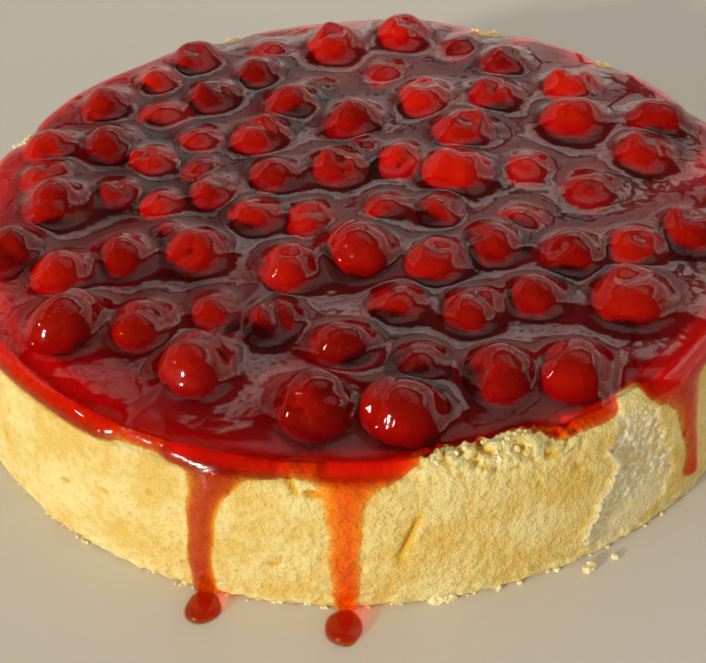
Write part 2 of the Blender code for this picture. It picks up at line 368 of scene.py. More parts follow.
def outwards(slopeR, slopeZ):
    # the unit vector to the right of a path that runs along these slopes
    length = np.hypot(slopeR, slopeZ)
    return slopeZ / length, -slopeR / length


def crustRelief(angle, r, z, flat, onWall):
    # how far each point of the plain outline is pushed out, and the fields for the material
    onRim = ramp(z, 30.5, 34.0) * ramp(r, footRadius - 12.0, footRadius - 9.5)
    atFoot = 1 - ramp(z, crust["footBand"] - 1.0, crust["footBand"] + 0.6)
    mask, ridge, smooth = patchShape(angle, z)
    broken = sector(angle, *brokenRim) * ramp(z, 29.0, 32.5) * (r > footRadius - 10.0)
    pits = pitDepth(angle, z, namedPits)
    small = pitDepth(angle, z, scatteredPits(crust["smallPits"], crust["seed"])) * (1 - mask)
    dry = onWall * (1 - covered(angle) * ramp(z, 31.5, 33.5))

    wave = crust["wave"] * roughField(flat, crust["waveSize"], 2)
    crumb = roughField(flat, crust["crumbSize"], 2)
    fine = roughField(flat, crust["fineSize"], 1)
    torn = np.abs(roughField(flat, crust["breakSize"], 3))
    lumps = (crust["grain"] + crust["footGrain"] * atFoot + crust["rimGrain"] * 0.4 * onRim) * dry
    lumps += crust["rimGrain"] * broken
    push = wave + lumps * (0.75 * crumb + 0.45 * fine)
    push -= crust["footGroove"] * np.exp(-((z - crust["footBand"]) / 0.5) ** 2)
    push += broken * crust["breakDepth"] * (0.35 - torn)
    push -= pits + small + rimDip(angle, z, r)
    push += mask * (patch["grain"] * (1 - 0.85 * smooth) * fine - patch["sink"])
    push += patch["ridge"] * ridge
    push *= ramp(z, 0.0, 0.8) * ramp(r, footRadius - 15.0, footRadius - 11.0)
    atLeft = sector(angle, crust["leftMiddle"], crust["leftHalf"]) * (z > 20)
    push += crust["leftFill"] * atLeft * ramp(r, 74.0, 81.0) * (1 - ramp(r, 87.5, 91.0))

    hollow = broken * np.clip(2.0 * torn - 0.5, 0.0, 0.85)
    stain = np.clip(1.3 * pits + 1.1 * small + hollow, 0.0, 1.0) ** 0.75 * (1 - mask)
    crumbly = np.maximum(0.8 * atFoot, np.maximum(0.5 * onRim, broken))
    return push, {"stain": stain, "patch": mask, "ridge": ridge, "smooth": smooth * mask, "dry": dry,
                  "crumb": crumbly}


def makeCrust():
    path = smoothPath(crustOutline)
    run = along(path)
    rows = int(run[-1] / crust["rowStep"])
    columns = crust["columns"]
    marks = np.linspace(0.0, run[-1], rows)
    radius = np.interp(marks, run, path[:, 0])
    height = np.interp(marks, run, path[:, 1])
    outR, outZ = outwards(np.gradient(radius, marks), np.gradient(height, marks))
    onWall = np.repeat(marks < marks[np.argmax(height)], columns)
    r, z, outR, outZ = (np.repeat(each, columns) for each in (radius, height, outR, outZ))
    turns = 360.0 * np.arange(columns) / columns - 180.0
    angle = np.repeat(turns[None, :], rows, 0).ravel()
    across = np.radians(angle)
    flat = np.stack([r * np.cos(across), r * np.sin(across), z], 1)
    push, fields = crustRelief(angle, r, z, flat, onWall)

    points = flat + push[:, None] * np.stack([outR * np.cos(across), outR * np.sin(across), outZ], 1)
    points[:, 2] = np.maximum(points[:, 2], 0.0)
    index = np.arange(rows * columns).reshape(rows, columns)
    low, high = index[:-1], index[1:]
    quads = np.stack([low, np.roll(low, -1, 1), np.roll(high, -1, 1), high], -1).reshape(-1, 4)
    faces = quads.tolist() + [index[0][::-1].tolist(), index[-1].tolist()]
    return meshFrom("crust", points, faces, fields)


def crustFinish():
    material, mix = newMaterial("crustFinish")
    broad = mix.noise(crust["broad"], 3.0)
    mottle = mix.noise(crust["mottle"], 4.0, 0.6)
    speck = mix.noise(crust["speck"], 3.0, 0.7)
    dots = 1 - mix.cells(crust["dots"]).between(0.10, 0.22)
    pores = (1 - mix.cells(crust["pores"]).between(0.10, 0.26)) * broad.between(0.40, 0.60)
    tone = (broad * 0.6 + mottle * 0.4).between(0.38, 0.62)
    colour = mix.blend(tone, crust["golden"], crust["pale"])
    colour = mix.blend(speck.between(0.50, 0.72) * 0.45, colour, crust["speckColour"])
    colour = mix.blend(dots * mottle.between(0.50, 0.62) * 0.8, colour, crust["pitColour"])
    colour = mix.blend(pores * 0.35, colour, crust["pitColour"])
    crumbly = mix.field("crumb") * mottle.between(0.42, 0.60)
    colour = mix.blend(crumbly * 0.75, colour, crust["crumbColour"])
    colour = mix.blend(mix.field("stain").between(0.08, 0.75), colour, crust["pitColour"])
    film = mix.field("patch")
    smooth = mix.field("smooth")
    glints = mix.noise(900.0, 1.0, 0.5).between(0.50, 0.58) * (1 - smooth * 0.8)
    filmColour = mix.blend(smooth, patch["colour"], patch["smooth"])
    filmColour = mix.blend(glints, filmColour, patch["glint"])
    colour = mix.blend(film * 0.92, colour, filmColour)
    colour = mix.blend(mix.field("ridge") * 0.9, colour, patch["edge"])
    rough = 0.80 - film * 0.25 + speck * 0.08
    dry = mix.field("dry")
    grain = mix.bump((speck - pores * 0.8) * dry, 0.40, 0.0007)
    grain = mix.bump(mottle * dry, 0.70, 0.0024, grain)
    surface = mix.add("ShaderNodeBsdfPrincipled", None, named={
        "Base Color": colour, "Roughness": rough, "Normal": grain, "IOR": 1.4,
        "Subsurface Weight": 0.35, "Subsurface Radius": (1.0, 0.65, 0.28), "Subsurface Scale": 0.0025})
    mix.finish(surface)
    return material


# The crumbs

crumbs = {
    "seed": 9,
    "kinds": 4,
    "footSink": 0.4,  # how deep those at the foot sit in it, in shares of their radius
    "rimSink": 0.75,  # and those on the rim
    "colour": (0.94, 0.76, 0.36),
    "pale": (0.99, 0.90, 0.58),
    # loose heaps on the floor: to the right, back, spread, how many, smallest and largest radius
    "heaps": ((44.2, -92.4, 1.1, 4, 0.6, 1.3), (49.8, -88.9, 0.7, 2, 0.5, 1.1)),
    # crumbs along a stretch: first and last angle, nearest and furthest radius, how many, smallest
    # and largest
    "foot": (
        (-135.0, -108.0, 98.4, 99.6, 22, 0.25, 0.6), (-108.0, 225.0, 98.0, 99.2, 140, 0.3, 0.8),
        (-84.5, -81.0, 98.6, 99.6, 9, 0.8, 1.6),
    ),
    "rim": (
        (-84.5, -70.0, 91.2, 95.4, 34, 0.3, 1.0), (110.8, 113.4, 92.0, 95.0, 7, 0.6, 1.2),
        (62.0, 67.0, 92.0, 95.0, 10, 0.5, 1.1), (39.0, 42.5, 92.5, 95.0, 6, 0.5, 1.1),
        (18.5, 22.0, 92.5, 95.0, 8, 0.5, 1.1), (155.0, 161.0, 92.0, 95.0, 10, 0.4, 1.0),
    ),
}


def crumbForm(kind):
    # an uneven lump of radius about 1
    shape = bmesh.new()
    bmesh.ops.create_icosphere(shape, subdivisions=2, radius=1.0)
    shift = Vector((kind * 5.3, 2.0, kind * 1.7))
    for vert in shape.verts:
        lumps, knobs = noise.noise(vert.co * 1.3 + shift), noise.noise(vert.co * 3.1 + shift)
        vert.co *= 0.86 + 0.62 * lumps + 0.34 * knobs
    return takeMesh(f"crumbForm{kind}", shape)


def crumbPlaces():
    draw = random.Random(crumbs["seed"])
    outline = smoothPath(crustOutline)
    side = outline[outline[:, 0].argmax():]
    shoulder = side[:side[:, 1].argmax() + 8][::-1]
    rows = []

    def lay(x, y, z, size):
        stretch = tuple(size * draw.uniform(0.8, 1.25) for _ in range(3))
        turn = Euler(tuple(draw.uniform(-math.pi, math.pi) for _ in range(3)))
        kind, tone = draw.randrange(crumbs["kinds"]), draw.random()
        rows.append((Vector((x, y, z + 0.6 * size)), stretch, turn, kind, tone))

    for x, y, spread, count, small, large in crumbs["heaps"]:
        for _ in range(count):
            aside, back = draw.gauss(0, spread / 2), draw.gauss(0, spread / 2)
            lay(x + aside, y + back, 0.0, draw.uniform(small, large))
    for first, last, near, far, count, small, large in crumbs["foot"]:
        for _ in range(count):
            turn, size = math.radians(draw.uniform(first, last)), draw.uniform(small, large)
            r = min(draw.uniform(near, far), footRadius - 0.1 - size)
            lay(r * math.cos(turn), r * math.sin(turn), -crumbs["footSink"] * size, size)
    for first, last, near, far, count, small, large in crumbs["rim"]:
        for _ in range(count):
            turn, r = math.radians(draw.uniform(first, last)), draw.uniform(near, far)
            z = float(np.interp(r, shoulder[:, 0], shoulder[:, 1]))
            size = draw.uniform(small, large)
            lay(r * math.cos(turn), r * math.sin(turn), z - crumbs["rimSink"] * size, size)
    return rows


def crumbFinish():
    material, mix = newMaterial("crumbFinish")
    speck = mix.noise(1300.0, 3.0, 0.6)
    colour = mix.blend(speck.between(0.4, 0.62), crumbs["colour"], crumbs["pale"])
    rough = 0.8 + speck * 0.1
    surface = mix.add("ShaderNodeBsdfPrincipled", None, named={
        "Base Color": colour, "Roughness": rough, "Normal": mix.bump(speck, 0.5, 0.0006)})
    mix.finish(surface)
    return material


# The cherries

cherries = {
    "shrink": 0.35,  # room for the skin of jelly over each cherry
    "swell": 1.07,  # how much wider than high they are
    "highest": 44.15,  # no cherry stands above this
    "around": 36,
    "upwards": 26,
    "kinds": 7,
    "seed": 21,
    "cleftTurn": 2.4,  # where the deep fold of some of them is, from the seam
    "dark": (0.16, 0.0005, 0.0012),
    "red": (0.26, 0.0009, 0.0014),
    "light": (0.62, 0.018, 0.010),
    "vein": (0.60, 0.04, 0.02),
    # dark colour at the stalk's dimple, the stone's hole and the creases: the scars' own colour and
    # painted shade in these hollows
    "scar": (0.08, 0.0004, 0.0006),
}

# The cherries that stand out of the jelly
standing = sorted(n for n in frame["nodes"] if n.startswith("cherry_") and n != "cherry_jelly")

# Those wholly under it, which only raise it into mounds: to the right, back, width of the mound
sunkCherries = (
    (-22, 74, 13), (32, 71, 14), (10, 58, 12), (-50, 40, 15), (-40, 26, 13),
    (-38, 12, 11), (3, 18, 10), (42, 7, 14), (-47, -3, 10), (7, -9, 10),
    (56, -5, 16), (38, -17, 12), (-44, -16, 8), (8, -46, 13), (11, -66, 13),
)


def cherryForm(kind):
    # One pitted cherry of radius 1: a ball with the dimple of its stalk, a seam down one side,
    # a torn hole where the stone came out, slack folds, and on some a cleft or a peak.
    draw = random.Random(cherries["seed"] + kind)
    dimple, hole, seam = draw.uniform(0.10, 0.26), draw.uniform(0.05, 0.34), draw.uniform(0.04, 0.10)
    folds, foldDepth = draw.randint(4, 6), draw.uniform(0.03, 0.07)
    cleft = draw.choice((0.0, 0.08, 0.16, 0.26))
    peak, peakTurn = (0.20, draw.uniform(0, 6.28)) if kind % 3 == 1 else (0.0, 0.0)
    if kind == cherries["kinds"]:    # the even one that lies under the jelly
        dimple = hole = seam = foldDepth = cleft = peak = 0.02
    peakWay = Vector((0.55 * math.cos(peakTurn), 0.55 * math.sin(peakTurn), 0.84))
    shift = Vector((kind * 3.7, kind * 1.9, 0.0))
    shape = bmesh.new()
    scar = shape.verts.layers.float.new("scar")
    bmesh.ops.create_uvsphere(shape, u_segments=cherries["around"],
                              v_segments=cherries["upwards"], radius=1.0)
    for vert in shape.verts:
        way = vert.co.normalized()
        fromTop = math.acos(max(-1.0, min(1.0, way.z)))
        fromEnd = math.pi - fromTop
        around = math.atan2(way.y, way.x)
        fromCleft = around - cherries["cleftTurn"]
        size = 1.0 + 0.045 * noise.noise(way * 1.6 + shift) + 0.02 * noise.noise(way * 4.0 + shift)
        size -= dimple * math.exp(-(fromTop / 0.34) ** 2)
        size -= hole * math.exp(-(fromEnd / 0.22) ** 2)
        size -= seam * math.exp(-(around / 0.22) ** 2) * math.sin(fromTop) ** 0.5
        size -= cleft * math.exp(-(fromCleft / 0.30) ** 2) * math.sin(fromTop)
        fold = math.cos(folds * around + 3 * fromEnd) * math.exp(-((fromEnd - 0.45) / 0.4) ** 2)
        size += foldDepth * fold
        size += peak * math.exp(-(way.angle(peakWay) / 0.30) ** 2)
        # a mark at the dimple, the hole and the creases: partly scar colour, partly painted shade in
        # those hollows
        crease = math.exp(-(around / 0.10) ** 2) * math.sin(fromTop)
        crease += math.exp(-(fromCleft / 0.14) ** 2) * cleft * 4
        atTop, atEnd = math.exp(-(fromTop / 0.20) ** 2), math.exp(-(fromEnd / 0.24) ** 2)
        vert[scar] = max(0.9 * atTop, atEnd, 0.6 * crease)
        vert.co = way * size
    mesh = takeMesh(f"cherryForm{kind}", shape)
    mesh.shade_smooth()
    return mesh


def cherryPlaces():
    # the middle, radius and turn of every cherry: the standing ones are where their solids are
    draw = random.Random(cherries["seed"])
    places = []
    for name in standing:
        low, high = (Vector(corner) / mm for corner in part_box(name))
        radius = max(high - low) / 1.93
        places.append(((low + high) / 2, radius - cherries["shrink"], False))
    for x, y, width in sunkCherries:
        radius = min(width / 2, 7.4)
        places.append((Vector((x, y, 39.0 - 0.9 * radius)), radius, True))
    rows = []
    for middle, radius, sunk in places:
        wide = cherries["swell"] * radius
        kind = cherries["kinds"] if sunk else draw.randrange(cherries["kinds"])
        peaked = kind % 3 == 1 and not sunk
        room = (cherries["highest"] - middle.z) / (1.18 if peaked else 1.04)
        tall = min(radius * draw.uniform(0.92, 0.99), room)
        squash = (wide * draw.uniform(0.97, 1.06), wide * draw.uniform(0.96, 1.05), tall)
        tip = 0.25 if peaked or sunk else 1.2
        leans = draw.uniform(-tip, tip), draw.uniform(-tip, tip)
        turn = Euler((*leans, draw.uniform(-math.pi, math.pi)))
        # those at the back are lighter and differ more
        back = float(ramp(middle.y, -80.0, 0.0))
        tone = back * 0.06 + draw.random() ** 1.4 * (0.32 + 0.62 * back)
        rows.append((middle, squash, turn, kind, tone))
    return rows


def strewTree(name, forms, material):
    # puts one of the forms at every point, turned and sized by the point's own values
    tree = bpy.data.node_groups.new(name, "GeometryNodeTree")
    for way in ("INPUT", "OUTPUT"):
        tree.interface.new_socket("Geometry", in_out=way, socket_type="NodeSocketGeometry")
    mix = Recipe(tree)

    def value(label, kind):
        return mix.add("GeometryNodeInputNamedAttribute", {"data_type": kind}, label)

    points = mix.add("NodeGroupInput")
    choice = mix.add("GeometryNodeCollectionInfo", None, named={
        "Collection": forms, "Separate Children": True, "Reset Children": True})
    stretch = mix.add("ShaderNodeVectorMath", {"operation": "SCALE"},
                      value("stretch", "FLOAT_VECTOR"), named={"Scale": mm})
    turn = mix.add("FunctionNodeEulerToRotation", None, value("turn", "FLOAT_VECTOR"))
    strewn = mix.add("GeometryNodeInstanceOnPoints", None, named={
        "Points": points, "Instance": choice, "Pick Instance": True,
        "Instance Index": value("kind", "INT"), "Rotation": turn, "Scale": stretch})
    whole = mix.add("GeometryNodeRealizeInstances", None, strewn)
    dressed = mix.add("GeometryNodeSetMaterial", None, named={"Geometry": whole, "Material": material})
    mix.add("NodeGroupOutput", None, dressed)
    return tree


def strew(name, rows, forms, material, smooth=True):
    # rows hold a place in mm, a stretch in mm along each axis, a turn, which form and a tone from
    # 0 to 1
    group = bpy.data.collections.new(name + "Forms")
    for i, form in enumerate(forms):
        group.objects.link(bpy.data.objects.new(f"{name}Form{i:02d}", form))
    mesh = bpy.data.meshes.new(name + "Points")
    mesh.from_pydata([tuple(Vector(row[0]) * mm) for row in rows], [], [])
    labels = (("stretch", "FLOAT_VECTOR"), ("turn", "FLOAT_VECTOR"), ("kind", "INT"), ("tone", "FLOAT"))
    for column, (label, kind) in enumerate(labels, 1):
        data = mesh.attributes.new(label, kind, "POINT").data
        if kind == "FLOAT_VECTOR":
            data.foreach_set("vector", [n for row in rows for n in row[column]])
        else:
            data.foreach_set("value", [row[column] for row in rows])
    holder = addPiece(name + "Holder", mesh)
    modifier = holder.modifiers.new("Strew", "NODES")
    modifier.node_group = strewTree(name + "Strew", group, material)
    made = pickApplied(holder, name)
    bpy.data.objects.remove(holder)
    for form in list(group.objects):
        bpy.data.objects.remove(form)
    bpy.data.collections.remove(group)
    for label in ("stretch", "turn", "kind"):
        if label in made.attributes:
            made.attributes.remove(made.attributes[label])
    made.polygons.foreach_set("use_smooth", [smooth] * len(made.polygons))
    return made


def cherryFinish():
    material, mix = newMaterial("cherryFinish")
    mottle = mix.noise(150.0, 2.0, 0.5)
    veins = mix.noise(900.0, 2.0, 0.5)
    colour = mix.blend(mottle.between(0.30, 0.70), cherries["dark"], cherries["red"])
    colour = mix.blend(mix.field("tone") * 0.8, colour, cherries["light"])
    colour = mix.blend(veins.between(0.60, 0.78) * 0.25, colour, cherries["vein"])
    # darker at the dimple, the hole and the creases: scar colour and painted shade in these hollows
    scar = (mix.field("scar") + veins * 0.6 - 0.3).between(0.35, 0.85)
    colour = mix.blend(scar * 0.6, colour, cherries["scar"])
    rough = 0.62 + mottle * 0.2
    relief = mix.bump(veins, 0.25, 0.0006)
    surface = mix.add("ShaderNodeBsdfPrincipled", None, named={
        "Base Color": colour, "Roughness": rough, "Normal": relief, "Specular IOR Level": 0.05,
        "Subsurface Weight": 0.3, "Subsurface Radius": (1.0, 0.05, 0.03), "Subsurface Scale": 0.003})
    mix.finish(surface)
    return material


# The jelly

jelly = {
    "cell": 0.8,
    "level": 36.8,
    "skin": 0.3,  # over the top of a cherry
    "reachFront": 1.8,  # how far the jelly climbs and hangs round what stands in it, at the front
    "reachBack": 4.2,  # and at the back, where the cherries lie deeper
    "rounds": 260,
    "ripple": 0.30,
    "rippleSize": 13.0,
    "slope": 17.0,  # width of the band over which the top falls to the rim
    "slopeEnd": 96.5,  # the radius at which it ends
    "edgeWaver": 0.45,
    "edgeWidth": 1.6,  # width of the rounded lip
    "edgeDrop": 1.1,
    "bead": 1.0,  # height of the rounded edge left of the first drip
    "beadWidth": 1.0,
    "film": 0.85,  # thickness of the thin coat that hangs over the rim, at its edge
    "filmInside": 1.75,  # and a few millimetres further in
    "filmFront": 0.75,  # how much thinner that is between the two long drips
    "bareDrop": 2.6,  # how much lower the top is where the jelly thins out towards a bare place
    "blend": 0.5,  # how softly a drip joins the coat
    "floorCut": 0.6,  # how far the underside reaches into the crust
    "absorbed": (27.0, 690.0, 2800.0),  # for each metre: red, green, blue
    "paintedShade": (0.36, 0.30, 0.30),  # what the jelly lets through where shade is painted into it: the first drip, above it and the coat at the left
    # how much the puddles are darkened by that same tint
    "puddleDarkening": 0.25,
    "roughness": 0.05,
    "beadRoughness": 0.17,  # more than that on the rounded edge
}

# The surface that the jelly lies on: the crust's top, filled in over the well, and its side
jellyBase = (
    (0.0, rimHeight), (60.0, rimHeight), (88.5, rimHeight), (91.8, rimHeight), (93.8, rimHeight - 0.4),
    (95.8, 32.6), (97.1, 29.5), (98.1, 24.0), (99.0, 16.0), (99.5, 8.0), (99.4, 2.0), (98.6, 0.0),
)

# Where the jelly draws back from the rim: middle angle, half width in degrees, how far.
# It keeps its thickness behind the first two places and thins out towards the others.
thickSectors = ((-76.8, 9.6, 5.2), (-98.0, 2.6, 1.4))
thinSectors = (
    (-61.5, 5.0, 1.6), (-55.5, 2.6, 4.0), (-118.5, 4.0, 1.5), (64.0, 2.6, 4.5), (41.0, 2.0, 4.0),
    (112.0, 1.6, 4.0), (158.0, 3.0, 4.0), (20.0, 2.5, 3.5),
)
bareSectors = thickSectors + thinSectors

# Where its thin coat hangs further down the side, in the same terms
hangingSectors = (
    (-101.0, 12.0, 0.9), (-86.0, 6.0, 1.1), (-48.0, 6.0, 1.5), (-38.0, 5.0, 1.2), (140.0, 9.0, 1.5),
    (82.0, 7.0, 1.4), (5.0, 8.0, 2.0), (-170.0, 6.0, 1.4),
)

# The drips: angle at the foot, lean towards the rim in degrees, then heights, half widths and
# thicknesses
drips = (
    (-110.6, 3.0, (34.4, 31.0, 27.0, 21.0, 12.0, 5.0, 0.0), (8.6, 6.4, 4.2, 3.5, 3.1, 3.0, 3.4),
     (1.6, 1.5, 1.4, 1.4, 1.4, 1.5, 1.7)),
    (-93.4, 1.0, (34.4, 31.5, 27.5, 20.0, 12.0, 5.0, 0.0), (9.2, 6.6, 4.5, 3.7, 3.3, 3.0, 3.2),
     (1.5, 1.1, 1.0, 1.0, 1.1, 1.3, 1.6)),
    (-46.6, -2.0, (34.4, 31.5, 27.0, 20.0, 13.0, 9.0, 6.6), (9.0, 6.5, 3.8, 2.7, 2.2, 2.7, 2.2),
     (1.5, 1.2, 1.1, 1.1, 1.3, 2.0, 1.9)),
)

# The rounded edge at which the thick jelly ends left of the first drip: angle, height
beadPath = (
    (-120.5, 35.0), (-117.2, 33.95), (-115.0, 33.5), (-112.0, 33.2), (-111.3, 32.75), (-107.5, 32.7),
    (-106.3, 32.3),
)

# The drops that have run off onto the floor: angle, distance from the middle, half length, half width,
# height
puddles = ((-109.8, 103.6, 4.1, 3.7, 2.2), (-93.6, 104.5, 4.3, 3.8, 2.3))


def jellyReach(angle):
    # how far from the middle the jelly ends, measured along the surface that it lies on
    turn = np.radians(angle)
    wave = 0.5 * np.sin(5 * turn + 0.7) + 0.35 * np.sin(11 * turn) + 0.25 * np.sin(23 * turn + 2.0)
    back = sum(far * sector(angle, middle, half) for middle, half, far in bareSectors)
    down = sum(far * sector(angle, middle, half) for middle, half, far in hangingSectors)
    return 97.0 + wave - back + down


def dripField(angle, height, drip):
    # the thickness of a drip, less than 0 outside it
    foot, lean, heights, widths, thick = drip
    up = np.clip(height / heights[0], 0.0, 1.0)
    across = np.radians(apart(angle, foot + lean * up ** 3)) * footRadius
    across = across + 0.25 * np.sin(height * 0.5 + foot)
    half = np.interp(height, heights[::-1], widths[::-1])
    deep = np.interp(height, heights[::-1], thick[::-1])
    bottom = heights[-1]
    # the lower end is round where the drip stops short of the floor
    below = np.maximum(0.0, (bottom + widths[-1] - height) / widths[-1]) if bottom > 1.0 else 0.0
    spread = (across / half) ** 2 + below ** 2
    return np.where(height <= heights[0] + 2.0, deep * (1 - spread), -1.0)


def beadShape(angle, height):
    # 1 along the middle of the rounded edge
    first, last = beadPath[0][0], beadPath[-1][0]
    middle = np.interp(angle, [turn for turn, _ in beadPath], [z for _, z in beadPath])
    middle = middle + 0.05 * np.sin(1.9 * angle)
    ends = ramp(angle, first - 1.0, first + 1.0) * (1 - ramp(angle, last - 0.3, last + 0.7))
    waver = 1 + 0.10 * np.sin(3.1 * angle + 1.0)
    return np.exp(-((height - middle) / jelly["beadWidth"]) ** 2) * ends * waver


def jellyPaintedShade(angle, mark, high):
    # painted shade in the jelly, where shade falls: in the first drip under the rounded edge, above
    # that drip, and in its coat at the left
    paintedShade = 0.9 * ramp(dripField(angle, high, drips[0]), 0.2, 1.0) * (high < 33.5)
    paintedShade = np.maximum(paintedShade, 0.30 * sector(angle, -134.0, 26.0) * ramp(mark, 87.0, 93.0))
    aboveDrip = sector(angle, -104.0, 9.0) * ramp(mark, 90.0, 94.0) * (high > 31.0)
    return np.maximum(paintedShade, 0.55 * aboveDrip)


def settle(height, target, floor, stiff, rounds):
    # lets the skin hang between what holds it up: every round each cell moves to the mean of its
    # neighbours, is drawn to its target level and stays above what lies under it
    for _ in range(rounds):
        mean = height.copy()
        mean[1:-1, 1:-1] = height[:-2, 1:-1] + height[2:, 1:-1] + height[1:-1, :-2] + height[1:-1, 2:]
        inner = (mean + stiff * target) / (4 + stiff)
        height[1:-1, 1:-1] = inner[1:-1, 1:-1]
        np.maximum(height, floor, out=height)
    return height


def jellyTarget(spots, angle, mark, high):
    # the level that the top would have without cherries, over the surface that the jelly lies on,
    # drawn down to the rim's edge and rounded there into a lip; also how far off that edge is
    shape = angle.shape
    ripple = (jelly["ripple"] * roughField(spots, jelly["rippleSize"], 2)).reshape(shape)
    edge = jellyReach(angle) + jelly["edgeWaver"] * roughField(spots, 5.0, 1).reshape(shape)
    toEdge = edge - mark
    share = np.clip((jelly["slopeEnd"] - mark) / jelly["slope"], 0.0, 1.0)
    atLeft = sector(angle, -150.0, 36.0)
    film = jelly["film"] * (1 + 0.3 * ripple)
    inner = jelly["filmInside"] - jelly["filmFront"] * sector(angle, -91.0, 11.0)
    film = film + (inner - film) * ramp(toEdge - 1.2 * atLeft, 1.0, 4.6 + atLeft)
    crown = (jelly["level"] - rimHeight - film) * (1 - (1 - share) ** 1.7)
    level = film + crown + ripple * ramp(toEdge, 0.0, 8.0)
    level += jelly["bead"] * beadShape(angle, high)
    bare = sum(sector(angle, middle, half) * back / 7.2 for middle, half, back in thinSectors)
    level -= jelly["bareDrop"] * np.clip(bare, 0, 1) * (1 - ramp(toEdge, -1.0, 8.0))
    inwards = np.clip(toEdge / jelly["edgeWidth"], 0.0, 1.0)
    rounded = np.sqrt(np.clip(1 - (1 - inwards) ** 2, 0.0, 1.0))
    lip = level - (1 - rounded) * jelly["edgeDrop"] * np.clip(level, 0.4, 1.0)
    target = np.where(toEdge > 0, lip, -0.3 + toEdge * 1.2)

    soft = jelly["blend"]
    for drip in drips:
        flow = np.where(mark > 88.0, dripField(angle, high, drip), -3.0)
        apartBy = np.abs(target - flow)
        higher = np.maximum(target, flow)
        target = np.where(apartBy < soft, higher + (soft - apartBy) ** 2 / (4 * soft), higher)
    return target, toEdge


def cherryRoof(cherryMesh, far, flatX, flatY):
    # how high the skin has to pass over the cherries, measured from the rim
    tree = BVHTree.FromPolygons([tuple(v.co / mm) for v in cherryMesh.vertices],
                                [tuple(p.vertices) for p in cherryMesh.polygons])
    roof = np.full(far.shape, -9.0)
    down = Vector((0, 0, -1))
    for i, j in np.argwhere(far < 92.0):
        hit, side = tree.ray_cast(Vector((flatX[i, j], flatY[i, j], 80.0)), down)[:2]
        if hit:
            roof[i, j] = hit.z + jelly["skin"] / max(side.z, 0.4) - rimHeight
    return roof


def crustBelow(mark):
    # how far the crust lies below the surface that the jelly is measured from: only inside the rim
    outline = smoothPath(crustOutline)
    inside = outline[outline[:, 0].argmax():]
    inside = inside[np.argmax(inside[:, 1]):][::-1]
    low = np.interp(mark, inside[:, 0], inside[:, 1]) - rimHeight
    return np.where(mark > inside[-1, 0], 0.0, np.minimum(low, 0.0))


def skinMesh(topPoints, lowPoints, keep, deep, fields):
    # the skin over every kept cell, its underside where that isn't deep, and the faces that join them
    count = topPoints.shape[1]
    upper, lower = [], []
    for i, j in np.argwhere(keep).tolist():
        first = i * count + j
        quad = (first, first + 1, first + count + 1, first + count)
        upper.append(quad)
        if not deep[i, j]:
            lower.append(quad[::-1])
    used = sorted({k for quad in upper for k in quad})
    lowUsed = sorted({k for quad in lower for k in quad})
    newTop = {k: n for n, k in enumerate(used)}
    newLow = {k: n + len(used) for n, k in enumerate(lowUsed)}
    points = np.vstack([topPoints.reshape(-1, 3)[used], lowPoints.reshape(-1, 3)[lowUsed]])
    fields = {name: np.concatenate([each.ravel()[used], each.ravel()[lowUsed]])
              for name, each in fields.items()}
    faces = [tuple(newTop[k] for k in quad) for quad in upper]
    faces += [tuple(newLow[k] for k in quad) for quad in lower]
    edges = {pair: True for quad in upper for pair in zip(quad, quad[1:] + quad[:1])}
    for a, b in edges:
        if (b, a) not in edges:
            faces.append((newTop[b], newTop[a], newLow[a], newLow[b]))
    return meshFrom("cherryJelly", points, faces, fields)


def makeJelly(cherryMesh):
    # a square grid is laid over the surface from the middle of the well down to the foot
    base = smoothPath(jellyBase)
    run = along(base)
    cell, reach = jelly["cell"], run[-1]
    steps = int(reach / cell) + 1
    line = cell * np.arange(-steps, steps + 1)
    u, v = np.meshgrid(line, line)
    far = np.hypot(u, v)
    angle = np.degrees(np.arctan2(v, u))
    turn = np.radians(angle)
    mark = np.minimum(far, reach)
    radius = np.interp(mark, run, base[:, 0])
    high = np.interp(mark, run, base[:, 1])
    slopeR = np.interp(mark, run, np.gradient(base[:, 0], run))
    slopeZ = np.interp(mark, run, np.gradient(base[:, 1], run))
    outR, outZ = outwards(-slopeR, -slopeZ)
    flatX, flatY = radius * np.cos(turn), radius * np.sin(turn)

    spots = np.stack([u.ravel(), v.ravel(), np.zeros(u.size)], 1)
    target, toEdge = jellyTarget(spots, angle, mark, high)
    roof = cherryRoof(cherryMesh, far, flatX, flatY)
    bead = beadShape(angle, high)
    pull = jelly["reachFront"] + (jelly["reachBack"] - jelly["reachFront"]) * ramp(flatY, -62.0, 20.0)
    stiff = (cell / pull) ** 2 * np.where((toEdge < 1.5) | (bead > 0.1), 9.0, 1.0)
    top = settle(np.maximum(target, roof), target, roof, stiff, jelly["rounds"])

    crustLow = crustBelow(mark)
    lowest = crustLow - jelly["floorCut"] - rimDip(angle, high, radius)
    top = np.maximum(top, lowest + 0.15)
    wet = (top > crustLow - 0.02) & (far < reach - 0.1)
    onSurface = far < reach
    middle = far < footRadius - 28.0

    def corners(grid):
        return grid[:-1, :-1], grid[1:, :-1], grid[:-1, 1:], grid[1:, 1:]

    def place(offset):
        r = radius + offset * outR
        return np.stack([r * np.cos(turn), r * np.sin(turn), np.maximum(high + offset * outZ, 0.0)], -1)

    keep = np.any(corners(wet), axis=0) & np.all(corners(onSurface), axis=0)
    deep = np.all(corners(middle), axis=0)
    # the painted shade is kept at each point for the material
    fields = {"paintedShade": jellyPaintedShade(angle, mark, high), "bead": bead}
    mesh = skinMesh(place(top), place(lowest), keep, deep, fields)
    shape = bmesh.new()
    shape.from_mesh(mesh)
    bmesh.ops.holes_fill(shape, edges=[e for e in shape.edges if e.is_boundary], sides=0)
    addPuddles(shape)
    for face in shape.faces:
        face.smooth = True
    bmesh.ops.recalc_face_normals(shape, faces=shape.faces)
    shape.to_mesh(mesh)
    shape.free()
    return mesh


